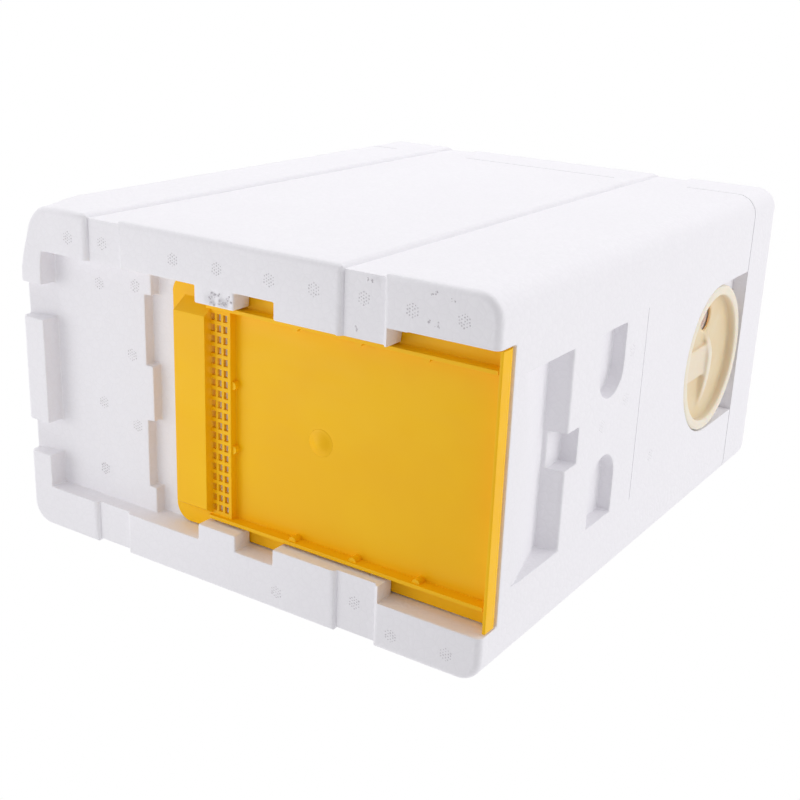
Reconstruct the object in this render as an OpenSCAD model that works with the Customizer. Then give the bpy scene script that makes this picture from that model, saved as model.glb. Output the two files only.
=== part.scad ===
// Mating nuc box: a moulded foam hive for a small colony, with a lift-off lid, a floor that slides out
// and a round entrance disc. Millimetres, +Z up. The box stands on its rim at z = 0, its front faces -Y.

/* [Body] */
// Outer width, left to right
body_w = 156; // [150:0.5:172]
// Outer length, front to rear
body_l = 250; // [244:1:280]
// Height from the rim to the lid joint
body_h = 269; // [250:1:310]
// Radius of the upright corners
corner_r = 10.5; // [9:0.5:16]
// Rounding of the lower edges
foot_r = 3; // [1:0.5:5]
// Thickness of each side wall
side_wall = 26.75; // [25:0.25:28]
// Thickness of the front wall
front_wall = 20; // [18:0.5:24]
// Thickness of the rear wall
rear_wall = 20; // [16:0.5:24]
// Length of the brood chamber, front to rear
brood_l = 126; // [122:1:130]
// Height of the feeder's floor above the rim
feeder_floor = 40; // [34:1:60]

/* [Underside] */
// Width of the rim along each side
rim_w = 20.75; // [19:0.25:21.5]
// Width of the rim along the rear
rear_rim_w = 14; // [10:0.5:18]
// Height of the rear floor above the rim
floor_depth = 9; // [8.5:0.5:13]
// Height of the pocket behind the slider above the rim
pocket_depth = 14; // [13.5:0.5:20]
// Distance from the slider's rear edge to the step in the floor
pocket_gap = 11; // [9:0.5:18]
// Width of each bay in the step
bay_w = 32; // [20:1:36]
// Distance of each bay's middle from the box's middle
bay_at = 29; // [24:0.5:32]
// Reach of each bay past the step
bay_reach = 3.5; // [1:0.5:6]
// Width of each gap through the rear rim
gap_w = 16; // [10:0.5:20]
// Distance of each gap's middle from the box's middle
gap_at = 33.3; // [24:0.1:40]
// Height of each gap's roof at the rear, from where it rises to the rear floor
gap_low = 4.6; // [3:0.1:8]

/* [Strap channels] */
// Width of a strap channel
strap_w = 24.5; // [20:0.5:28]
// Depth of a strap channel
strap_depth = 2; // [1:0.5:4]
// Rounding of a strap channel's edges
strap_r = 3; // [1:0.5:5]
// Distance of the front strap channel's middle from the front
front_strap_at = 59.6; // [50:0.2:70]
// Distance of the rear strap channel's middle from the rear
rear_strap_at = 53.6; // [40:0.2:65]

/* [Slider runners] */
// Reach of the retaining tabs in from the rim
tab_reach = 7.4; // [4:0.2:8]
// Height of the retaining tabs
tab_h = 10.6; // [9.5:0.1:11.5]
// Distance of the front tab from the front
front_tab_at = 48; // [40:1:56]
// Length of the front tab
front_tab_l = 54; // [30:1:60]
// Distance of the rear tab from the front
rear_tab_at = 122.5; // [118:0.5:126]
// Length of the rear tab
rear_tab_l = 21; // [10:1:24]

/* [Front] */
// Width of the landing ramp's recess
ramp_w = 88; // [60:1:96]
// Height of the ramp's lower edge above the rim
ramp_low = 20.5; // [16:0.5:30]
// Height of the ramp's upper edge above the rim
ramp_high = 62.5; // [50:0.5:66]
// Depth of the recess at the head of the ramp
ramp_depth = 10.3; // [6:0.1:13]
// Drop of the recess's ceiling from its edge to its deepest line
ramp_ceiling_drop = 2.5; // [0.5:0.5:5]
// Width of the niche above the ramp
niche_w = 16; // [10:1:22]
// Height of the niche above the ramp's upper edge
niche_h = 10.5; // [6:0.5:14]
// Depth of the niche behind the front
niche_depth = 8; // [5:0.5:10]
// Height of the finger grips' lower edge above the rim
grip_low = 89.5; // [82:0.5:100]
// Height of each finger grip
grip_h = 24; // [16:0.5:30]
// Distance of each finger grip's straight end from the middle
grip_out = 44; // [38:0.5:50]
// Distance of each finger grip's round end from the middle
grip_in = 13.5; // [8:0.5:16]
// Depth of the finger grips
grip_depth = 6.5; // [4:0.5:9]
// Height of the fine groove above the rim
groove_z = 135.5; // [125:0.5:150]
// Length of the fine groove
groove_l = 92; // [60:1:100]
// Width and depth of the fine groove
groove_w = 0.5; // [0.3:0.1:1]

/* [Entrance disc] */
// Diameter of the disc
disc_d = 75.6; // [70:0.2:76]
// Thickness of the disc, front to back
disc_t = 6.4; // [5:0.2:9]
// Distance of the disc's middle below the lid joint
disc_drop = 39; // [38.5:0.5:50]
// Set-back of the disc behind the front
disc_back = 0.3; // [0.2:0.1:3]
// Width of the disc's outer ring
disc_ring = 5.2; // [3:0.2:6]
// Thickness of the disc's floor
disc_floor = 1.8; // [1.2:0.1:3]
// Width of the arched grip across the disc
fin_w = 5; // [3:0.5:8]
// Distance of the grip below the disc's middle
fin_below = 2; // [0:0.5:4]
// Set-back of the grip's crest behind the ring
fin_back = 0.4; // [0.2:0.1:1.5]
// Radius of the grip's short end
fin_short_r = 25; // [16:1:40]
// Radius of the grip's long end
fin_long_r = 91; // [60:1:120]
// Width of the web between the grip and the ring
web_w = 16; // [8:1:20]
// Height of the web above the disc's floor
web_h = 2.2; // [1:0.2:3]
// Radius of the bee hole in the disc
hole_r = 6.5; // [4.5:0.5:7]
// Distance of the bee hole from the disc's middle
hole_at = 22; // [21.5:0.5:24]
// Turn of the bee hole round the disc in degrees, from the right
hole_turn = 190; // [180:1:200]
// Clearance round the disc
disc_play = 0.4; // [0.2:0.1:0.8]

/* [Floor slider] */
// Thickness of the slider's sheet
sheet_t = 1.5; // [1.2:0.1:1.7]
// Overlap of the slider behind the brood chamber
slider_overlap = 19.5; // [16:0.5:24]
// Clearance of the slider over the tabs
slider_play = 0.3; // [0.1:0.1:0.5]
// Clearance of the slider under the walls
slider_top_play = 0.3; // [0.2:0.1:0.8]
// Clearance of the slider beside the rim
slider_side_play = 0.6; // [0.3:0.1:1.2]
// Radius of the sheet's rear corners
sheet_r = 8; // [3:0.5:12]
// Depth of the rear plateau below the sheet
plateau_drop = 7.6; // [6:0.1:8.6]
// Length of the rear plateau, front to rear
plateau_l = 17.5; // [14:0.5:20]
// Distance of the plateau from the sheet's rear edge
plateau_at = 7; // [5:0.5:9]
// Slope of the plateau's ends over its depth
plateau_slope = 4.9; // [1:0.1:6]
// Depth of the vent grille below the sheet
grille_drop = 3.6; // [2.6:0.1:5]
// Length of the vent grille, front to rear
grille_l = 10.7; // [10.6:0.1:14]
// Pitch of the grille's openings along its rows
grille_pitch = 4.8; // [4:0.1:6]
// Length of each opening along its row
grille_slot = 3.2; // [2:0.1:3.4]
// Width of each opening across its row
grille_slot_w = 2.2; // [1.2:0.1:2.3]
// Pitch of the rows of openings
grille_row = 3.4; // [2.8:0.1:3.4]
// Thickness of the ribs along the slider
rib_t = 1.8; // [1.2:0.1:2.4]
// Height of the ribs below the sheet
rib_drop = 5.3; // [3:0.1:6.5]
// Clearance between the ribs and the tabs
rib_play = 1.2; // [0.5:0.1:2]
// Radius of the small bosses along the ribs
boss_r = 1.9; // [1:0.1:2.5]
// Distance of the first rib boss in front of the grille
boss_first = 34; // [20:1:36]
// Pitch of the bosses along the ribs
boss_pitch = 31; // [20:1:40]
// Distance of the two bosses at the grille from the middle
boss_at = 14.5; // [8:0.5:30]
// Height of the front lip's lower edge above the rim
lip_low = 3.6; // [2:0.1:6]
// Set-back of the lip behind the front
lip_back = 0.3; // [0.2:0.1:2]
// Outer radius of the bend from the sheet into the lip
lip_bend = 2.8; // [2:0.1:4]

/* [Lid] */
// Height of the lid above the joint
lid_h = 38; // [28:1:50]
// Rounding of the lid's upper edges
lid_r = 8.5; // [4:0.5:8.5]
// Height of the spigot that fits into the body
spigot_h = 8; // [5:0.5:9]
// Clearance round the spigot
spigot_play = 0.5; // [0.3:0.1:1.5]

/* [Top bars] */
// Drop of the bar ledges below the lid joint
ledge_drop = 19; // [19:0.5:24]
// Width of the bar ledges
ledge_w = 8.5; // [6:0.5:10]
// Thickness of a top bar
bar_t = 8; // [6:0.5:8.5]
// Width of a top bar
bar_w = 22; // [18:0.5:24]
// Pitch of the top bars
bar_pitch = 31; // [29:0.5:31]
// Distance of the first bar's middle from the front wall
first_bar = 16.5; // [14:0.5:17]
// Clearance at each end of a bar
bar_play = 0.4; // [0.2:0.1:1]
// Thickness of a wax starter strip
strip_t = 2; // [1:0.5:3]
// Height of a wax starter strip below its bar
strip_h = 25; // [10:1:40]
// Distance of a strip's end from the side wall
strip_margin = 8; // [5:0.5:15]
// Depth of the saw cut that holds a strip
kerf_depth = 3; // [2:0.5:4]
// Clearance of a strip in its saw cut
kerf_play = 0.2; // [0.1:0.1:0.4]

/* [Feeder] */
// Thickness of the queen excluder between brood chamber and feeder
screen_t = 2; // [1.6:0.1:3]
// Depth of the grooves that hold the excluder
screen_groove = 3.5; // [2:0.5:6]
// Clearance of the excluder in its grooves
screen_play = 0.3; // [0.2:0.1:0.6]
// Distance of the excluder behind the brood chamber's floor
screen_at = 1; // [0.5:0.5:3]
// Width of an excluder slot
slot_w = 4.2; // [4:0.1:4.5]
// Pitch of the excluder slots
slot_pitch = 8; // [7:0.5:12]
// Height of an excluder slot
slot_h = 36; // [20:1:42]
// Pitch of the rows of slots
slot_row = 48; // [46:1:60]
// Margin round the slots
slot_margin = 8; // [5:0.5:12]
// Height of the feeder tray
tray_h = 110; // [60:1:150]
// Thickness of the tray's walls
tray_wall = 1.8; // [1.2:0.1:3]
// Radius of the tray's corners
tray_r = 6; // [3:0.5:10]
// Clearance round the tray
tray_play = 1; // [0.5:0.5:3]

/* [Inner cover] */
// Thickness of the clear sheet over the bars
cover_t = 1.5; // [0.5:0.1:1.5]
// Clearance round the clear sheet
cover_play = 0.8; // [0.5:0.1:2]

/* [Hidden] */
$fn = 64;
cut = 1;
bar_count = 4;
eps_white = [0.95, 0.95, 0.96];
slider_yellow = [0.95, 0.74, 0.12];
disc_cream = [0.95, 0.89, 0.72];

half_w = body_w / 2;
front_y = -body_l / 2;
rear_y = body_l / 2;
chamber_x = half_w - side_wall;
rim_x = half_w - rim_w;
front_in = front_y + front_wall;
rear_in = rear_y - rear_wall;
slab_front = front_in + brood_l;
ledge_z = body_h - ledge_drop;
ledge_x = chamber_x + ledge_w;

front_strap_y = front_y + front_strap_at;
rear_strap_y = rear_y - rear_strap_at;

sheet_z = tab_h + slider_play;
sheet_top = sheet_z + sheet_t;
runner_z = sheet_top + slider_top_play;
sheet_x = rim_x - slider_side_play;
sheet_rear = slab_front + slider_overlap;
sheet_front = front_y + lip_back;
bend_y = sheet_front + lip_bend;
rib_x = rim_x - tab_reach - rib_play;
rib_z = sheet_z - rib_drop;
inner_x = rib_x - rib_t;
plateau_rear = sheet_rear - plateau_at;
plateau_front = plateau_rear - plateau_l;
plateau_z = sheet_z - plateau_drop;
plateau_x = rib_x - plateau_slope;
grille_front = plateau_front - grille_l;
grille_z = sheet_z - grille_drop;
step_y = sheet_rear + pocket_gap;

disc_r = disc_d / 2;
disc_z = body_h - disc_drop;
slot_r = disc_r + disc_play;
slot_depth = disc_back + disc_t + disc_play;
bowl_r = disc_r - disc_ring;

bar_z = ledge_z;
cover_z = bar_z + bar_t;
screen_y = slab_front + screen_at;
tray_front = screen_y + screen_t + tray_play;
tray_rear = rear_in - tray_play;
tray_x = chamber_x - tray_play;

function bar_y(i) = front_in + first_bar + (i - 1) * bar_pitch;
// Places of a row of n things, pitch apart, about its middle
function row_places(n, pitch) = [for (i = [0:n - 1]) (i - (n - 1) / 2) * pitch];
// How many things of one size fit in a length at a pitch
function row_count(length, size, pitch) = floor((length - size) / pitch) + 1;

// A box from one corner to the opposite one
module block(low, high) {
    translate(low) cube(high - low);
}

module round_rect(w, l, r) {
    square([w - 2 * r, l], center = true);
    square([w, l - 2 * r], center = true);
    for (sx = [-1, 1], sy = [-1, 1])
        translate([sx * (w / 2 - r), sy * (l / 2 - r)]) circle(r);
}

// Upright section of a soft block: its lower and upper corners are rounded, or square at radius 0
module edge_section(w, h, low_r, high_r) {
    translate([-w / 2, low_r]) square([w, h - low_r - high_r]);
    for (end = [[low_r, low_r, 0], [high_r, h - high_r, h - high_r]])
        if (end[0] > 0) {
            translate([end[0] - w / 2, end[2]]) square([w - 2 * end[0], end[0]]);
            for (sx = [-1, 1]) translate([sx * (w / 2 - end[0]), end[1]]) circle(end[0]);
        }
}

// A foam block with round upright corners and round lower or upper edges
module soft_block(w, l, h, r, low_r, high_r) {
    rotate([90, 0, 0])
        linear_extrude(height = l - 2 * r, center = true) edge_section(w, h, low_r, high_r);
    rotate([90, 0, 90])
        linear_extrude(height = w - 2 * r, center = true) edge_section(l, h, low_r, high_r);
    for (sx = [-1, 1], sy = [-1, 1])
        translate([sx * (w / 2 - r), sy * (l / 2 - r), 0])
            rotate_extrude()
                intersection() {
                    edge_section(2 * r, h, low_r, high_r);
                    square([r, h]);
                }
}

// Section of a strap channel, cut into a face along its lower edge, with round edges at its mouth
module strap_section() {
    difference() {
        translate([-strap_w / 2, -cut]) square([strap_w, strap_depth + cut]);
        for (s = [-1, 1])
            translate([s * strap_w / 2, strap_r]) {
                circle(strap_r);
                translate([-strap_r, 0]) square([2 * strap_r, strap_depth]);
            }
    }
}

// Channels for the two straps, up both sides between two heights
module side_straps(low, high) {
    for (y = [front_strap_y, rear_strap_y], s = [-1, 1])
        translate([s * half_w, y, low])
            rotate([0, 0, s * 90])
                linear_extrude(height = high - low) strap_section();
}

// Channels for the two straps across the rim
module cross_straps() {
    for (y = [front_strap_y, rear_strap_y])
        translate([-half_w - cut, y, 0])
            rotate([90, 0, 90])
                linear_extrude(height = body_w + 2 * cut) strap_section();
}

module chamber_cuts() {
    // Brood chamber, open to the slider below
    block([-chamber_x, front_in, -cut], [chamber_x, slab_front, body_h + cut]);
    // Feeder space behind it
    block([-chamber_x, slab_front - cut, feeder_floor], [chamber_x, rear_in, body_h + cut]);
    // Ledges for the bars
    block([-ledge_x, front_in, ledge_z], [ledge_x, rear_in, body_h + cut]);
    // Grooves for the excluder
    block(
        [-chamber_x - screen_groove, screen_y - screen_play, feeder_floor],
        [chamber_x + screen_groove, screen_y + screen_t + screen_play, ledge_z + cut]
    );
}

module underside_cuts() {
    // Way of the slider
    block([-rim_x, front_y - cut, -cut], [rim_x, slab_front + cut, runner_z]);
    // Deep pocket behind the slider, with its two bays
    block([-rim_x, slab_front, -cut], [rim_x, step_y, pocket_depth]);
    for (s = [-1, 1])
        translate([s * bay_at, step_y + bay_reach / 2, pocket_depth / 2])
            cube([bay_w, bay_reach + cut, pocket_depth], center = true);
    // Rear floor
    block([-rim_x, step_y - cut, -cut], [rim_x, rear_y - rear_rim_w, floor_depth]);
    // Gaps through the rear rim, with a roof that falls to the rear
    for (s = [-1, 1])
        translate([s * gap_at - gap_w / 2, rear_y - rear_rim_w, 0])
            rotate([90, 0, 90])
                linear_extrude(height = gap_w)
                    polygon([
                        [-cut, -cut],
                        [rear_rim_w + cut, -cut],
                        [rear_rim_w + cut, gap_low],
                        [rear_rim_w, gap_low],
                        [0, floor_depth],
                        [-cut, floor_depth]
                    ]);
}

// Tabs that hold the slider up, one pair for each distance and length
module slider_tabs() {
    for (tab = [[front_tab_at, front_tab_l], [rear_tab_at, rear_tab_l]], s = [-1, 1])
        translate([s * (rim_x - tab_reach / 2 + cut / 2), front_y + tab[0] + tab[1] / 2, tab_h / 2])
            cube([tab_reach + cut, tab[1], tab_h], center = true);
}

// Recess with the landing ramp, as a wedge that is deepest under its ceiling
module ramp_cut() {
    translate([ramp_w / 2, front_y, 0])
        rotate([90, 0, -90])
            linear_extrude(height = ramp_w)
                polygon([
                    [cut, ramp_low - cut],
                    [0, ramp_low],
                    [-ramp_depth, ramp_high - ramp_ceiling_drop],
                    [0, ramp_high],
                    [cut, ramp_high]
                ]);
}

// Niche that runs up from the recess's ceiling
module niche_cut() {
    block(
        [-niche_w / 2, front_y - cut, ramp_high - ramp_ceiling_drop],
        [niche_w / 2, front_y + niche_depth, ramp_high + niche_h]
    );
}

// Finger grip with a straight outer end and a round inner end
module grip_cut(s) {
    round_r = grip_h / 2;
    translate([0, front_y - cut, grip_low + round_r])
        rotate([-90, 0, 0])
            linear_extrude(height = grip_depth + cut) {
                translate([s * (grip_in + round_r), 0]) circle(round_r);
                translate([s * (grip_in + round_r + grip_out) / 2, 0])
                    square([grip_out - grip_in - round_r, grip_h], center = true);
            }
}

// Seat of the disc, open to the lid, and the passage behind the bee hole
module disc_cut() {
    translate([0, front_y - cut, disc_z])
        rotate([-90, 0, 0]) cylinder(r = slot_r, h = slot_depth + cut);
    block([-slot_r, front_y - cut, disc_z], [slot_r, front_y + slot_depth, body_h + cut]);
    translate([hole_at * cos(hole_turn), front_y, disc_z + hole_at * sin(hole_turn)])
        rotate([-90, 0, 0]) cylinder(r = hole_r, h = front_wall + cut);
}

module hive_body() {
    color(eps_white)
        difference() {
            union() {
                difference() {
                    soft_block(body_w, body_l, body_h, corner_r, foot_r, 0);
                    chamber_cuts();
                    underside_cuts();
                    ramp_cut();
                    niche_cut();
                    for (s = [-1, 1]) grip_cut(s);
                    disc_cut();
                    block(
                        [-groove_l / 2, front_y - cut, groove_z - groove_w / 2],
                        [groove_l / 2, front_y + groove_w, groove_z + groove_w / 2]
                    );
                }
                slider_tabs();
            }
            side_straps(-cut, body_h + cut);
            cross_straps();
        }
}

module lid() {
    spigot_w = 2 * (ledge_x - spigot_play);
    color(eps_white)
        difference() {
            union() {
                translate([0, 0, body_h]) soft_block(body_w, body_l, lid_h, corner_r, 0, lid_r);
                block(
                    [-spigot_w / 2, front_in + spigot_play, body_h - spigot_h],
                    [spigot_w / 2, rear_in - spigot_play, body_h + cut]
                );
            }
            side_straps(body_h - cut, body_h + lid_h + cut);
            translate([0, 0, body_h + lid_h]) mirror([0, 0, 1]) cross_straps();
        }
}

// Flat sheet with round rear corners
module slider_sheet() {
    sheet_l = sheet_rear - bend_y;
    translate([0, 0, sheet_z])
        linear_extrude(height = sheet_t) {
            translate([-sheet_x, bend_y]) square([2 * sheet_x, sheet_l - sheet_r]);
            translate([sheet_r - sheet_x, bend_y]) square([2 * (sheet_x - sheet_r), sheet_l]);
            for (s = [-1, 1]) translate([s * (sheet_x - sheet_r), sheet_rear - sheet_r]) circle(sheet_r);
        }
}

// Front lip to pull, into which the sheet bends down
module slider_lip() {
    translate([-sheet_x, bend_y, sheet_top - lip_bend])
        rotate([90, 0, 90])
            linear_extrude(height = 2 * sheet_x) {
                difference() {
                    intersection() {
                        circle(lip_bend);
                        translate([-lip_bend, 0]) square(lip_bend);
                    }
                    circle(lip_bend - sheet_t);
                }
                translate([-lip_bend, lip_low - sheet_top + lip_bend])
                    square([sheet_t, sheet_top - lip_bend - lip_low]);
            }
}

// Low plateau across the rear, whose ends slope up to the sheet
module slider_plateau() {
    translate([0, plateau_rear, 0])
        rotate([90, 0, 0])
            linear_extrude(height = plateau_l)
                polygon([
                    [-plateau_x, plateau_z],
                    [plateau_x, plateau_z],
                    [rib_x, sheet_z],
                    [rib_x, sheet_top],
                    [-rib_x, sheet_top],
                    [-rib_x, sheet_z]
                ]);
}

// Three rows of openings that let air in and keep bees back
module grille_cuts() {
    count = row_count(2 * inner_x, grille_slot, grille_pitch);
    middle = (grille_front + sheet_t + plateau_front) / 2;
    for (x = row_places(count, grille_pitch), y = row_places(3, grille_row))
        translate([x, middle + y, grille_z])
            cube([grille_slot, grille_slot_w, 4 * sheet_t], center = true);
}

// Small round bosses along the ribs and at the foot of the grille
module slider_bosses() {
    run = grille_front - boss_first - bend_y;
    for (i = [0:row_count(run, boss_r, boss_pitch) - 1], s = [-1, 1])
        translate([s * inner_x, grille_front - boss_first - i * boss_pitch, rib_z + boss_r / 2])
            cylinder(r = boss_r, h = sheet_top - rib_z - boss_r / 2);
    for (s = [-1, 1])
        translate([s * boss_at, grille_front, grille_z + boss_r / 2])
            cylinder(r = boss_r, h = sheet_top - grille_z - boss_r / 2);
}

module floor_slider() {
    color(slider_yellow)
        difference() {
            union() {
                slider_sheet();
                slider_lip();
                slider_bosses();
                slider_plateau();
                // Grille in front of the plateau
                block([-rib_x, grille_front, grille_z], [rib_x, plateau_front + cut, sheet_top]);
                // Ribs along both sides
                for (x = [-rib_x, inner_x])
                    block([x, bend_y, rib_z], [x + rib_t, plateau_front + cut, sheet_top]);
            }
            // Hollow over the plateau and over the grille
            block(
                [sheet_t - plateau_x, plateau_front + sheet_t, plateau_z + sheet_t],
                [plateau_x - sheet_t, plateau_rear - sheet_t, sheet_top + cut]
            );
            block(
                [-inner_x, grille_front + sheet_t, grille_z + sheet_t],
                [inner_x, plateau_front, sheet_top + cut]
            );
            grille_cuts();
        }
}

// Side view of the grip: a short and a long arc that meet at its crest
module grip_profile() {
    crest = disc_t - fin_back;
    intersection() {
        translate([0, crest - fin_short_r]) circle(fin_short_r);
        translate([-fin_short_r, 0]) square([fin_short_r, crest]);
    }
    intersection() {
        translate([0, crest - fin_long_r]) circle(fin_long_r);
        square([disc_r - disc_ring / 2, crest]);
    }
}

module entrance_disc() {
    color(disc_cream)
        translate([0, front_y + disc_back + disc_t, disc_z])
            rotate([90, 0, 0])
                difference() {
                    union() {
                        difference() {
                            cylinder(r = disc_r, h = disc_t);
                            translate([0, 0, disc_floor]) cylinder(r = bowl_r, h = disc_t);
                        }
                        translate([0, -fin_below, 0])
                            rotate([90, 0, 0])
                                linear_extrude(height = fin_w, center = true) grip_profile();
                        block([-web_w / 2, -bowl_r - cut, 0], [web_w / 2, -fin_below, disc_floor + web_h]);
                    }
                    rotate([0, 0, hole_turn])
                        translate([hole_at, 0, -cut]) cylinder(r = hole_r, h = disc_t + 2 * cut);
                }
}

module inner_cover() {
    color([0.85, 0.9, 0.92, 0.4])
        block(
            [-ledge_x + cover_play, front_in + cover_play, cover_z],
            [ledge_x - cover_play, rear_in - cover_play, cover_z + cover_t]
        );
}

module feeder_screen() {
    screen_x = chamber_x + screen_groove - screen_play;
    screen_top = ledge_z - screen_play;
    columns = row_count(2 * (chamber_x - slot_margin), slot_w, slot_pitch);
    rows = row_count(screen_top - feeder_floor - 2 * slot_margin, slot_h, slot_row);
    color(slider_yellow)
        difference() {
            block([-screen_x, screen_y, feeder_floor], [screen_x, screen_y + screen_t, screen_top]);
            for (x = row_places(columns, slot_pitch), z = row_places(rows, slot_row))
                translate([x, screen_y + screen_t / 2, (feeder_floor + screen_top) / 2 + z])
                    cube([slot_w, screen_t + 2 * cut, slot_h], center = true);
        }
}

module feeder_tray() {
    tray_l = tray_rear - tray_front;
    color(eps_white)
        translate([0, (tray_front + tray_rear) / 2, feeder_floor])
            difference() {
                linear_extrude(height = tray_h) round_rect(2 * tray_x, tray_l, tray_r);
                translate([0, 0, tray_wall])
                    linear_extrude(height = tray_h)
                        round_rect(2 * (tray_x - tray_wall), tray_l - 2 * tray_wall, tray_r - tray_wall);
            }
}

module top_bar(i) {
    bar_x = ledge_x - bar_play;
    color([0.83, 0.68, 0.46])
        difference() {
            block([-bar_x, bar_y(i) - bar_w / 2, bar_z], [bar_x, bar_y(i) + bar_w / 2, bar_z + bar_t]);
            block(
                [-bar_x - cut, bar_y(i) - strip_t / 2 - kerf_play, bar_z - cut],
                [bar_x + cut, bar_y(i) + strip_t / 2 + kerf_play, bar_z + kerf_depth]
            );
        }
}

module starter_strip(i) {
    strip_x = chamber_x - strip_margin;
    color([0.93, 0.78, 0.4])
        block(
            [-strip_x, bar_y(i) - strip_t / 2, bar_z - strip_h],
            [strip_x, bar_y(i) + strip_t / 2, bar_z + kerf_depth - kerf_play]
        );
}

hive_body();
lid();
floor_slider();
entrance_disc();
inner_cover();
feeder_screen();
feeder_tray();
for (i = [1:bar_count]) top_bar(i);
for (i = [1:bar_count]) starter_strip(i);
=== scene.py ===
"""Looks of a foam mating nuc box: rounded foam skins, moulded plastic, wood and wax, studio and camera.

The box stands upright in its frame, front towards -Y. The photograph shows it lying on its +X side, seen
from below and in front, so the camera is rolled until -X points up in the picture.
"""

import math
import random

import bmesh
import bpy
from mathutils import Matrix, Vector


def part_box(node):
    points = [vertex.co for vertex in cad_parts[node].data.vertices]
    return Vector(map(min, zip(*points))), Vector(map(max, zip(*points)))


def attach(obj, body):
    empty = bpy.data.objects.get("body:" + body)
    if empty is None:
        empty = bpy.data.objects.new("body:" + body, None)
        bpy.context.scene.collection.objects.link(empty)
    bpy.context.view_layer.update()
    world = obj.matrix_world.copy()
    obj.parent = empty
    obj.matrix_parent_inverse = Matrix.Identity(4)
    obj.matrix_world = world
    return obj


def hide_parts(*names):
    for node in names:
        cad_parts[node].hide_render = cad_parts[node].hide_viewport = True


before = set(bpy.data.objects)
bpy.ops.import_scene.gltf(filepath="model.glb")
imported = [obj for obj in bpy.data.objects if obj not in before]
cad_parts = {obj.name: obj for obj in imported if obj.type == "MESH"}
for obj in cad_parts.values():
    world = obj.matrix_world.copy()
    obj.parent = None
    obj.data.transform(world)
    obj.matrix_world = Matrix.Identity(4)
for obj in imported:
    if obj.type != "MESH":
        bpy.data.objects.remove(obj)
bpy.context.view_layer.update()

MM = 0.001
RNG = random.Random(7)
BODY_LOW, BODY_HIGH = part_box("hive_body")
DISC_LOW, DISC_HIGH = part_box("entrance_disc")


# Node trees


class NodeTree:
    """Builds up a node tree. Values that are sockets are linked, others are set."""

    def __init__(self, tree):
        self.nodes = tree.nodes
        self.links = tree.links

    def feed(self, socket, value):
        if isinstance(value, bpy.types.NodeSocket):
            self.links.new(value, socket)
        elif isinstance(value, (tuple, list)) and len(value) == 3 and socket.type == "RGBA":
            socket.default_value = (*value, 1)
        else:
            socket.default_value = value

    def add(self, kind, *ordered, props=None, **named):
        """A new node with its inputs fed in their order, or by name with _ for a space."""
        node = self.nodes.new(kind)
        for key, value in (props or {}).items():
            setattr(node, key, value)
        for socket, value in zip(node.inputs, ordered):
            self.feed(socket, value)
        for key, value in named.items():
            self.feed(node.inputs[key.replace("_", " ")], value)
        return node

    def math(self, operation, *values):
        return self.add("ShaderNodeMath", *values, props={"operation": operation}).outputs[0]

    def vector_math(self, operation, *values):
        """An operation on vectors that gives a single number."""
        node = self.add("ShaderNodeVectorMath", *values, props={"operation": operation})
        return node.outputs["Value"]

    def ramp(self, value, low, high, at_low=0.0, at_high=1.0):
        """A smooth step from at_low to at_high as value goes from low to high."""
        node = self.add(
            "ShaderNodeMapRange", props={"interpolation_type": "SMOOTHSTEP"},
            Value=value, From_Min=low, From_Max=high, To_Min=at_low, To_Max=at_high,
        )
        return node.outputs[0]

    def blend(self, share, first, second):
        """A mix of two shaders."""
        return self.add("ShaderNodeMixShader", share, first, second).outputs[0]


class Shader(NodeTree):
    """A material with one Principled shader, patterned in the piece's own coordinates."""

    def __init__(self, name, **principled):
        self.material = bpy.data.materials.new(name)
        self.material.use_nodes = True
        super().__init__(self.material.node_tree)
        self.principled = self.nodes["Principled BSDF"]
        self.place = self.add("ShaderNodeTexCoord").outputs["Object"]
        self.set(**principled)

    def set(self, **principled):
        for key, value in principled.items():
            self.feed(self.principled.inputs[key.replace("_", " ")], value)

    def mix(self, share, first, second):
        """A mix of two colours. The node also has inputs and outputs for other kinds of value."""
        node = self.add("ShaderNodeMix", share, props={"data_type": "RGBA"})
        first_colour, second_colour = node.inputs[6], node.inputs[7]
        self.feed(first_colour, first)
        self.feed(second_colour, second)
        mixed_colour = node.outputs[2]
        return mixed_colour

    def stretched(self, scale):
        return self.add("ShaderNodeMapping", Vector=self.place, Scale=scale).outputs[0]

    def noise(self, size, detail=3.0, vector=None):
        """Noise whose features are about size metres across."""
        vector = vector or self.place
        return self.add("ShaderNodeTexNoise", Vector=vector, Scale=1 / size, Detail=detail).outputs["Fac"]

    def cells(self, size, feature="F1", output="Distance"):
        """A pattern of cells about size metres across."""
        node = self.add("ShaderNodeTexVoronoi", props={"feature": feature}, Vector=self.place, Scale=1 / size)
        return node.outputs[output]

    def bump(self, height, distance, strength):
        node = self.add("ShaderNodeBump", Height=height, Distance=distance, Strength=strength)
        self.set(Normal=node.outputs[0])


# Materials


def foam_material():
    """White bead foam: flattened beads with fine creases between them, slightly cool."""
    white, dull, shade = (0.885, 0.872, 0.905), (0.865, 0.852, 0.885), (0.80, 0.785, 0.82)
    bead = 3.4 * MM
    foam = Shader("bead_foam", Roughness=0.62)
    edge = foam.cells(bead, feature="DISTANCE_TO_EDGE")
    tone = foam.add("ShaderNodeSeparateColor", Color=foam.cells(bead, output="Color")).outputs[0]
    cloud = foam.ramp(foam.noise(45 * MM, detail=2.0), 0.35, 0.75, at_high=0.5)
    crease = foam.ramp(edge, 0.0, 0.09, at_low=1.0, at_high=0.0)
    base = foam.mix(foam.math("MULTIPLY", tone, 0.55), white, dull)
    base = foam.mix(cloud, base, dull)
    base = foam.mix(foam.math("MULTIPLY", crease, 0.22), base, shade)
    foam.set(Base_Color=base)
    dome = foam.ramp(edge, 0.0, 0.3)
    grain = foam.math("MULTIPLY", foam.noise(0.9 * MM, detail=2.0), 0.35)
    foam.bump(foam.math("ADD", dome, grain), distance=0.10 * MM, strength=0.55)
    return foam.material


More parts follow.
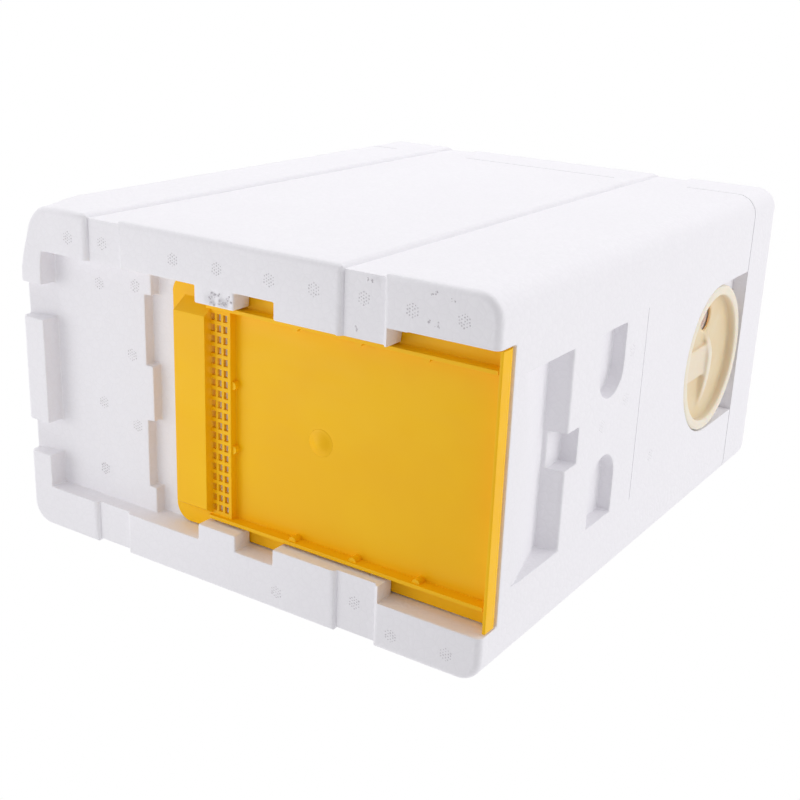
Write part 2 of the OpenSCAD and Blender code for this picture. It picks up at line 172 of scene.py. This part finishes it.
def pit_shade_material():
    """Foam in the shade of a small pit."""
    dark, pale = (0.60, 0.58, 0.61), (0.71, 0.69, 0.72)
    pit = Shader("foam_painted_pit_shade", Roughness=0.8)
    pit.set(Base_Color=pit.mix(pit.ramp(pit.noise(0.8 * MM), 0.35, 0.65), dark, pale))
    pit.bump(pit.noise(0.3 * MM), distance=0.05 * MM, strength=0.5)
    return pit.material


def plastic_shader(name, roughness, specular=0.5):
    """Moulded plastic with fine grain and faint rubbed patches, before it has its colour."""
    plastic = Shader(name, IOR=1.49, Specular_IOR_Level=specular)
    rub = plastic.noise(6 * MM, detail=5.0, vector=plastic.stretched((1.0, 0.25, 1.0)))
    plastic.set(Roughness=plastic.ramp(rub, 0.3, 0.75, at_low=roughness - 0.05, at_high=roughness + 0.10))
    plastic.bump(plastic.noise(0.7 * MM, detail=2.0), distance=0.02 * MM, strength=0.6)
    return plastic


def plastic_material(name, pale, deep, roughness, specular=0.5):
    """Moulded plastic with slow changes of tone."""
    plastic = plastic_shader(name, roughness, specular)
    tone = plastic.ramp(plastic.noise(38 * MM, detail=2.0), 0.3, 0.7)
    plastic.set(Base_Color=plastic.mix(tone, pale, deep))
    return plastic.material


def cream_material(front, back):
    """Milky plastic with painted shade: its colour grows darker and deeper from front to back along Y,
    towards its thin floor.
    """
    pale, deep, cloudy = (0.835, 0.77, 0.65), (0.775, 0.59, 0.33), (0.82, 0.72, 0.52)
    cream = plastic_shader("cream_plastic", roughness=0.45)
    cream.set(Subsurface_Weight=0.5, Subsurface_Radius=(1.0, 0.7, 0.4), Subsurface_Scale=3 * MM)
    # Painted shade: pale at the front, reaching the darker deep colour at the back of the bowl.
    painted_shade_depth = cream.add("ShaderNodeSeparateXYZ", Vector=cream.place).outputs["Y"]
    tint = cream.mix(cream.ramp(painted_shade_depth, front, back), pale, deep)
    cloud = cream.ramp(cream.noise(14 * MM, detail=2.0), 0.35, 0.7, at_high=0.35)
    cream.set(Base_Color=cream.mix(cloud, tint, cloudy))
    return cream.material


def wood_material():
    """Planed softwood with the grain along the bar."""
    pale, dark, fleck = (0.70, 0.50, 0.28), (0.52, 0.32, 0.14), (0.40, 0.24, 0.11)
    wood = Shader("planed_softwood", IOR=1.45)
    wander = wood.noise(26 * MM, vector=wood.stretched((0.10, 1.0, 1.0)))
    rings = wood.math("SINE", wood.math("MULTIPLY", wander, 95.0))
    late = wood.ramp(rings, -0.1, 0.95)
    fibre = wood.noise(1.1 * MM, vector=wood.stretched((0.04, 1.0, 1.0)))
    base = wood.mix(wood.math("MULTIPLY", late, 0.6), pale, dark)
    base = wood.mix(wood.ramp(fibre, 0.55, 0.8, at_high=0.5), base, fleck)
    wood.set(Base_Color=base, Roughness=wood.ramp(fibre, 0.3, 0.8, at_low=0.48, at_high=0.68))
    relief = wood.math("ADD", fibre, wood.math("MULTIPLY", late, 0.4))
    wood.bump(relief, distance=0.08 * MM, strength=0.6)
    return wood.material


def wax_material():
    """Rolled beeswax, slightly see-through."""
    pale, deep = (0.80, 0.53, 0.15), (0.70, 0.43, 0.10)
    wax = Shader("beeswax", IOR=1.44)
    wax.set(Subsurface_Weight=0.25, Subsurface_Radius=(1.0, 0.6, 0.2), Subsurface_Scale=2 * MM)
    wax.set(Base_Color=wax.mix(wax.ramp(wax.noise(12 * MM), 0.3, 0.7), pale, deep))
    wax.set(Roughness=wax.ramp(wax.noise(3 * MM), 0.3, 0.7, at_low=0.38, at_high=0.55))
    wax.bump(wax.noise(0.8 * MM), distance=0.03 * MM, strength=0.6)
    return wax.material


def clear_material():
    """Thin clear sheet with a faint bloom of scuffs."""
    sheet = Shader("clear_sheet", Base_Color=(0.93, 0.97, 0.97), IOR=1.46, Transmission_Weight=1.0)
    scuff = sheet.noise(5 * MM, detail=6.0, vector=sheet.stretched((0.35, 1.0, 1.0)))
    sheet.set(Roughness=sheet.ramp(scuff, 0.45, 0.75, at_low=0.03, at_high=0.22))
    sheet.bump(sheet.noise(60 * MM, detail=1.0), distance=0.4 * MM, strength=0.3)
    return sheet.material


FOAM = foam_material()
PIT_SHADE = pit_shade_material()
YELLOW = plastic_material(
    "yellow_plastic", pale=(0.98, 0.555, 0.001), deep=(0.96, 0.52, 0.001), roughness=0.42, specular=0.25,
)
CREAM = cream_material(DISC_LOW.y, DISC_HIGH.y)
WHITE = plastic_material(
    "white_plastic", pale=(0.82, 0.82, 0.80), deep=(0.78, 0.78, 0.75), roughness=0.30,
)
WOOD = wood_material()
WAX = wax_material()
CLEAR = clear_material()


# Objects and meshes


def new_object(name, data):
    thing = bpy.data.objects.new(name, data)
    bpy.context.scene.collection.objects.link(thing)
    return thing


def mesh_of(shape, name):
    """Turns a finished shape into a mesh and lets the shape go."""
    mesh = bpy.data.meshes.new(name)
    shape.to_mesh(mesh)
    shape.free()
    return mesh


def finish_piece(mesh, name, material, body, slot, *replaced):
    """Makes an object of a mesh that rides on a body, and hides the CAD nodes it stands for."""
    piece = new_object(name, mesh)
    mesh.materials.clear()
    mesh.materials.append(material)
    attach(piece, body)
    if replaced:
        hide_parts(*replaced)
    return piece


# Rounded skins

# Angles between faces, in degrees
FLAT, STILL_FLAT = 0.3, 0.05
SHARP, CREASE, FOLD = 28, 40, 140
# Areas in square metres, below which a face says little about its direction
SLIVER, SMALL_FACE = 1e-11, 1e-10
# How the edges are rounded
ARC_SEGMENTS = 2
EDGE_STRIDE = 10 * MM
MENDS = 7


def join_flats(shape, degrees):
    """Joins neighbouring faces that lie in one plane."""
    bmesh.ops.dissolve_limit(
        shape, angle_limit=math.radians(degrees), verts=shape.verts, edges=shape.edges,
    )


def clean_polygons(node):
    """The node's shape with its flat faces as whole polygons."""
    shape = bmesh.new()
    shape.from_mesh(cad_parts[node].data)
    bmesh.ops.remove_doubles(shape, verts=shape.verts, dist=0.002 * MM)
    join_flats(shape, FLAT)
    return shape


def meets_above(edge, degrees):
    """Whether two faces meet at an edge at more than an angle."""
    return len(edge.link_faces) == 2 and edge.calc_face_angle() > math.radians(degrees)


def mark_creases(shape):
    """Shades faces as one where they meet at a low angle, and never across a sliver."""
    shape.normal_update()
    for edge in shape.edges:
        sliver = any(f.calc_area() < SLIVER for f in edge.link_faces)
        edge.smooth = not (sliver or meets_above(edge, CREASE))
    for face in shape.faces:
        face.smooth = True


def folded_places(shape):
    """Ends of the edges where the surface doubles back on itself."""
    return [
        v.co.copy()
        for e in shape.edges
        if meets_above(e, FOLD) and min(f.calc_area() for f in e.link_faces) > SMALL_FACE
        for v in e.verts
    ]


def lies_near(edge, places, reach):
    """Whether an edge passes within reach of one of the places."""
    start, end = (v.co for v in edge.verts)
    along = end - start
    nearly_nothing = 1e-14
    for place in places:
        share = (place - start).dot(along) / max(along.length_squared, nearly_nothing)
        if (place - start - along * min(1, max(0, share))).length < reach:
            return True
    return False


def bevelled(base, chosen, width):
    """A copy of a shape with the chosen edges rounded, in triangles."""
    shape = base.copy()
    shape.edges.ensure_lookup_table()
    bmesh.ops.bevel(
        shape, geom=[shape.edges[i] for i in chosen], offset=width, segments=ARC_SEGMENTS,
        profile=0.5, affect="EDGES", clamp_overlap=False, loop_slide=False,
    )
    bmesh.ops.triangulate(shape, faces=shape.faces[:])
    shape.normal_update()
    return shape


def rounded_copy(node, width, shortest=0.0, leave=None):
    """The node's shape with its edges rounded, apart from short ones, those that leave picks out, and spots
    where rounding would fold. Each mend leaves out the edges round the last folds, a little further away."""
    base = clean_polygons(node)
    mark = base.edges.layers.int.new("rounded")
    for edge in base.edges:
        left = leave is not None and leave(edge)
        edge[mark] = meets_above(edge, SHARP) and edge.calc_length() >= shortest and not left
    for edge in [e for e in base.edges if e[mark] and e.calc_length() > 1.5 * EDGE_STRIDE]:
        bmesh.ops.subdivide_edges(base, edges=[edge], cuts=int(edge.calc_length() / EDGE_STRIDE))
    bmesh.ops.connect_verts_concave(base, faces=base.faces[:])
    base.edges.index_update()
    base.edges.ensure_lookup_table()
    chosen = [e.index for e in base.edges if e[mark] and meets_above(e, SHARP)]
    shape = bevelled(base, chosen, width)
    for mend in range(MENDS):
        places = folded_places(shape)
        if not places:
            break
        reach = (1.3 + 0.6 * mend) * width
        chosen = [i for i in chosen if not lies_near(base.edges[i], places, reach)]
        shape.free()
        shape = bevelled(base, chosen, width)
    base.free()
    bmesh.ops.dissolve_degenerate(shape, dist=0.01 * MM, edges=shape.edges[:])
    join_flats(shape, STILL_FLAT)
    mark_creases(shape)
    return mesh_of(shape, node + "_skin")


def skin(node, body, material, slot, width, **rounding):
    """Shows a CAD node as the same shape with its moulded or planed edges rounded."""
    mesh = rounded_copy(node, width, **rounding)
    piece = finish_piece(mesh, node + "_skin", material, body, slot, node)
    normals = piece.modifiers.new("flat faces stay flat", "WEIGHTED_NORMAL")
    normals.keep_sharp = True
    normals.weight = 100
    return piece


def softened_copy(node, grid, rounds):
    """The node's shape on a fine grid, smoothed until its edges flow into each other."""
    draft = new_object("draft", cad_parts[node].data.copy())
    remesh = draft.modifiers.new("grid", "REMESH")
    remesh.mode = "VOXEL"
    remesh.voxel_size = grid
    smooth = draft.modifiers.new("flow", "SMOOTH")
    smooth.factor = 0.5
    smooth.iterations = rounds
    view = bpy.context.evaluated_depsgraph_get()
    mesh = bpy.data.meshes.new_from_object(draft.evaluated_get(view))
    bpy.data.objects.remove(draft)
    mesh.shade_smooth()
    return mesh


# Foam body and lid


def faces_near(shape, spot, reach):
    """Faces that come within reach of a spot along every axis."""
    def comes_near(face, axis):
        places = [v.co[axis] for v in face.verts]
        return min(places) < spot[axis] + reach and max(places) > spot[axis] - reach

    return [f for f in shape.faces if all(comes_near(f, axis) for axis in range(3))]


def dent(mesh, spot, push, reach, steps):
    """Pushes foam in round a spot: cuts the faces there finely and moves their points, less with distance."""
    shape = bmesh.new()
    shape.from_mesh(mesh)
    for axis in range(3):
        across = Vector((0, 0, 0))
        across[axis] = 1
        for step in range(-steps, steps):
            near = faces_near(shape, spot, reach)
            edges = dict.fromkeys(e for f in near for e in f.edges)
            verts = dict.fromkeys(v for f in near for v in f.verts)
            bmesh.ops.bisect_plane(
                shape, geom=[*verts, *edges, *near], plane_co=spot + across * reach * step / steps,
                plane_no=across, dist=0.02 * MM,
            )
    moved = [v for v in shape.verts if (v.co - spot).length < reach]
    bmesh.ops.triangulate(shape, faces=list(dict.fromkeys(f for v in moved for f in v.link_faces)))
    for vert in moved:
        share = 1 - (vert.co - spot).length / reach
        vert.co += push * share * share * (3 - 2 * share)
    mark_creases(shape)
    shape.to_mesh(mesh)
    shape.free()


def worn_body():
    """The foam body with its knocked rear corner and the crushed tab beside the slider's rear end."""
    mesh = skin("hive_body", "body", FOAM, "foam", width=0.9 * MM).data
    rear_corner = Vector((BODY_LOW.x, BODY_HIGH.y, BODY_LOW.z))
    dent(mesh, rear_corner, push=Vector((1.5, -6.0, 1.5)) * MM, reach=34 * MM, steps=9)
    for x, y in ((-53.5, 9), (-53, 2)):
        tab = Vector((x * MM, y * MM, BODY_LOW.z))
        dent(mesh, tab, push=Vector((0.3, 0.0, 1.1)) * MM, reach=5 * MM, steps=6)


def on_seam(edge):
    """Whether an edge lies where body and lid meet."""
    return all(abs(v.co.z - BODY_HIGH.z) < 0.01 * MM for v in edge.verts)


worn_body()
skin("lid", "lid", FOAM, "foam", width=1.2 * MM, leave=on_seam)


# Plastic, wood and wax pieces


skin("floor_slider", "slider", YELLOW, "yellow_plastic", width=0.35 * MM, shortest=4 * MM)
finish_piece(
    softened_copy("entrance_disc", grid=0.5 * MM, rounds=26),
    "entrance_disc_skin", CREAM, "disc", "cream_plastic", "entrance_disc",
)
skin("feeder_screen", "screen", YELLOW, "yellow_plastic", width=0.25 * MM)
skin("feeder_tray", "tray", WHITE, "white_plastic", width=0.4 * MM)
skin("inner_cover", "cover", CLEAR, "clear_sheet", width=0.3 * MM)
for bar in range(1, 5):
    skin(f"top_bar_{bar}", f"bar_{bar}", WOOD, "pale_wood", width=0.5 * MM)
    skin(f"starter_strip_{bar}", f"bar_{bar}", WAX, "wax", width=0.3 * MM)


# Moulding marks and wear, in millimetres, some of them dark with painted shade

DOWN, FRONT = (0, 0, -1), (0, -1, 0)
FRONT_FACE = BODY_LOW.y / MM
# Heights of the underside's faces
RIM = BODY_LOW.z / MM
CHANNEL = RIM + 2
REAR_FLOOR = RIM + 9
SLIDER_PANEL = RIM + 10.9

UNDERSIDE_VENTS = [
    # The left rim and the two strap channels across it
    (-66, 92, RIM), (-66, 73, CHANNEL), (-66, 30, RIM), (-66, 6, RIM), (-66, -21, RIM),
    (-66, -43, RIM), (-66, -65, CHANNEL), (-66, -88, RIM), (-66, -110, RIM),
    # The right rim and its front strap channel
    (69, -25.5, RIM), (62, -64.6, CHANNEL), (69.6, -84, RIM), (68.7, -110, RIM),
    # The rear floor
    (-48, 61, REAR_FLOOR), (-45.5, 83, REAR_FLOOR), (-16, 64, REAR_FLOOR), (10.6, 83, REAR_FLOOR),
    (17, 62, REAR_FLOOR), (43.6, 84, REAR_FLOOR),
]
FRONT_VENTS = [
    (-30, FRONT_FACE, 121), (-2, FRONT_FACE, 96), (-8, FRONT_FACE, 119), (30, FRONT_FACE, 156),
]
VENT_PITCH = 1.3
VENT_STRAY = 0.15

SCUFFS = [
    # Nicks along the left rim: place, reach along X and Y, number of specks
    (-74.2, -69, RIM, 0.8, 1.2, 6), (-74, -97, RIM, 0.8, 1.5, 6), (-72.7, -105, RIM, 0.6, 0.8, 4),
    (-53.5, -62, CHANNEL, 1.2, 0.5, 6), (-62.6, -98, RIM, 1.2, 3.0, 9),
    # The crushed tab beside the slider's rear end
    (-53.3, 4.5, RIM, 2.6, 6.0, 34),
]


def add_cap(shape, place, out, radius, height, rings=2, sides=8):
    """A low dome on a flat face, closed underneath. Its top points along out."""
    turn = Vector(out).to_track_quat("Z", "Y").to_matrix().to_4x4()
    at = Matrix.Translation(Vector(place) * MM) @ turn
    sunk = 0.03
    crown = shape.verts.new(at @ Vector((0, 0, height * MM)))
    inner = None
    for ring in range(1, rings + 1):
        share = ring / rings
        level = height * (1 - share * share) ** 2 - sunk * (ring == rings)
        circle = []
        for k in range(sides):
            angle = 2 * math.pi * k / sides
            spot = Vector((share * radius * math.cos(angle), share * radius * math.sin(angle), level)) * MM
            circle.append(shape.verts.new(at @ spot))
        for k in range(sides):
            n = (k + 1) % sides
            face = (inner[k], circle[k], circle[n], inner[n]) if inner else (crown, circle[k], circle[n])
            shape.faces.new(face)
        inner = circle
    shape.faces.new(reversed(inner))


def show_caps(shape, name, material, body, slot):
    mesh = mesh_of(shape, name)
    mesh.shade_smooth()
    finish_piece(mesh, name, material, body, slot)


def steam_vents(name, vents, out, material):
    """Clusters of tiny dots where the steam vents of the foam's mould were, each a hexagon of 19."""
    shape = bmesh.new()
    for x, y, z in vents:
        for a in range(-2, 3):
            for b in range(max(-2, -2 - a), min(2, 2 - a) + 1):
                along = VENT_PITCH * (a + b / 2) + RNG.uniform(-VENT_STRAY, VENT_STRAY)
                across = VENT_PITCH * b * math.sqrt(0.75) + RNG.uniform(-VENT_STRAY, VENT_STRAY)
                place = (x + along, y + across, z) if out == DOWN else (x + along, y, z + across)
                add_cap(shape, place, out, radius=RNG.uniform(0.28, 0.46), height=RNG.uniform(0.08, 0.2))
    show_caps(shape, name, material, "body", "foam")


def knocks_with_painted_shade():
    """Specks where the foam has been knocked, dark with painted pit shade that stands for the shade in the
    small nicks.
    """
    shape = bmesh.new()
    for x, y, z, reach_x, reach_y, count in SCUFFS:
        for _ in range(count):
            place = (x + RNG.uniform(-reach_x, reach_x), y + RNG.uniform(-reach_y, reach_y), z)
            radius = RNG.uniform(0.15, 0.6)
            add_cap(shape, place, DOWN, radius, height=RNG.uniform(0.05, 0.3), sides=6)
    show_caps(shape, "knocks_with_painted_shade", PIT_SHADE, "body", "foam")


def gate_mark():
    """The low dome that the moulding's feed point left in the middle of the slider."""
    shape = bmesh.new()
    add_cap(shape, (1.0, -39.5, SLIDER_PANEL), DOWN, radius=6.2, height=1.9, rings=12, sides=48)
    show_caps(shape, "gate_mark", YELLOW, "slider", "yellow_plastic")


# The underside's dots carry painted pit shade, standing for the shade inside the vents' pits; the front's are
# plain foam.
steam_vents("underside_vents", UNDERSIDE_VENTS, DOWN, PIT_SHADE)
steam_vents("front_vents", FRONT_VENTS, FRONT, FOAM)
knocks_with_painted_shade()
gate_mark()


# Studio


def world_light(level, dim_axis, dim_by):
    """White for what the camera sees, reflects or looks through; as light, dimmer along one axis."""
    world = bpy.data.worlds.new("studio")
    bpy.context.scene.world = world
    world.use_nodes = True
    tree = NodeTree(world.node_tree)
    direction = tree.add("ShaderNodeTexCoord").outputs["Generated"]
    along = tree.vector_math("DOT_PRODUCT", direction, Vector(dim_axis).normalized())
    share = tree.math("ABSOLUTE", along)
    strength = tree.add("ShaderNodeMapRange", Value=share, To_Min=level, To_Max=level - dim_by).outputs[0]
    light = tree.nodes["Background"]
    tree.feed(light.inputs["Color"], (0.99, 0.985, 1.0))
    tree.feed(light.inputs["Strength"], strength)
    white = tree.add("ShaderNodeBackground", Color=(1, 1, 1), Strength=1.0)
    ray = tree.add("ShaderNodeLightPath").outputs
    seen = ray["Is Camera Ray"]
    for other in ("Is Glossy Ray", "Is Transmission Ray"):
        seen = tree.math("MAXIMUM", seen, ray[other])
    surface = tree.blend(seen, light.outputs[0], white.outputs[0])
    tree.feed(tree.nodes["World Output"].inputs["Surface"], surface)


def add_lamp(name, kind, place, watts):
    """A lamp that the camera doesn't see."""
    light = bpy.data.lights.new(name, kind)
    light.energy = watts
    lamp = new_object(name, light)
    lamp.location = place
    lamp.visible_camera = False
    return lamp


def softbox(name, place, aim, size, watts):
    """A square soft lamp turned towards a point."""
    lamp = add_lamp(name, "AREA", place, watts)
    lamp.rotation_euler = (Vector(aim) - Vector(place)).to_track_quat("-Z", "Y").to_euler()
    lamp.data.shape = "SQUARE"
    lamp.data.size = size


def glow(name, place, radius, watts, tint):
    """The light that foam and cream plastic let through into a space inside."""
    lamp = add_lamp(name, "POINT", place, watts)
    lamp.data.shadow_soft_size = radius
    lamp.data.color = tint


def floor_material(pale_to, white_from):
    """Pale near the middle, white further out, and clear from below."""
    material = bpy.data.materials.new("pale_floor")
    material.use_nodes = True
    tree = NodeTree(material.node_tree)
    tree.nodes.clear()
    paint = tree.add("ShaderNodeBsdfDiffuse", Color=(0.93, 0.93, 0.93)).outputs[0]
    white = tree.add("ShaderNodeEmission").outputs[0]
    clear = tree.add("ShaderNodeBsdfTransparent").outputs[0]
    away = tree.vector_math("LENGTH", tree.add("ShaderNodeTexCoord").outputs["Object"])
    top = tree.blend(tree.ramp(away, pale_to, white_from), paint, white)
    from_below = tree.add("ShaderNodeNewGeometry").outputs["Backfacing"]
    tree.add("ShaderNodeOutputMaterial", Surface=tree.blend(from_below, top, clear))
    return material


def floor():
    """A pale floor just under the box that shows from above only and takes no part in the lighting."""
    shape = bmesh.new()
    bmesh.ops.create_grid(shape, x_segments=8, y_segments=8, size=3.0)
    mesh = mesh_of(shape, "floor")
    mesh.materials.append(floor_material(pale_to=0.25, white_from=0.9))
    plane = new_object("floor", mesh)
    plane.location.z = -0.5 * MM
    for ray in ("diffuse", "glossy", "shadow"):
        setattr(plane, "visible_" + ray, False)


MIDDLE = (0.0, 0.0, 0.15)
world_light(level=1.05, dim_axis=(-0.33, -0.51, -0.79), dim_by=0.7)
softbox("left_key", (-1.3, 0.35, 0.45), aim=MIDDLE, size=0.9, watts=5.6)
softbox("front_fill", (-0.2, -1.2, 0.45), aim=MIDDLE, size=1.4, watts=5.3)
softbox("right_fill", (1.3, 0.2, 0.5), aim=MIDDLE, size=0.9, watts=2.4)
softbox("low_rear_fill", (0.0, 0.4, -0.36), aim=(0.0, 0.05, 0.0), size=0.3, watts=0.45)
softbox("rear_card", (0.0, 0.04, -0.145), aim=(0.0, 0.045, 0.01), size=0.16, watts=0.04)
glow("brood_glow", (0.0, -0.04, 0.12), radius=0.05, watts=0.09, tint=(1.0, 0.92, 0.78))
glow("passage_glow", (-0.0217, -0.1, 0.226), radius=0.004, watts=0.003, tint=(1.0, 0.42, 0.08))
floor()


# Camera

EYE = Vector((-185.3, -323.4, -370.4)) * MM
LOOK_AT = Vector((0.0, -36.7, 73.5)) * MM
PICTURE_UP = Vector((-0.943, 0.213, 0.256))
LENS = 56.25

camera = new_object("camera", bpy.data.cameras.new("camera"))
back = (EYE - LOOK_AT).normalized()
right = PICTURE_UP.cross(back).normalized()
turn = Matrix((right, back.cross(right), back)).transposed()
camera.matrix_world = Matrix.Translation(EYE) @ turn.to_4x4()
camera.data.lens = LENS
camera.data.clip_start = 10 * MM
bpy.context.scene.camera = camera
bpy.context.scene.view_settings.view_transform = "Standard"
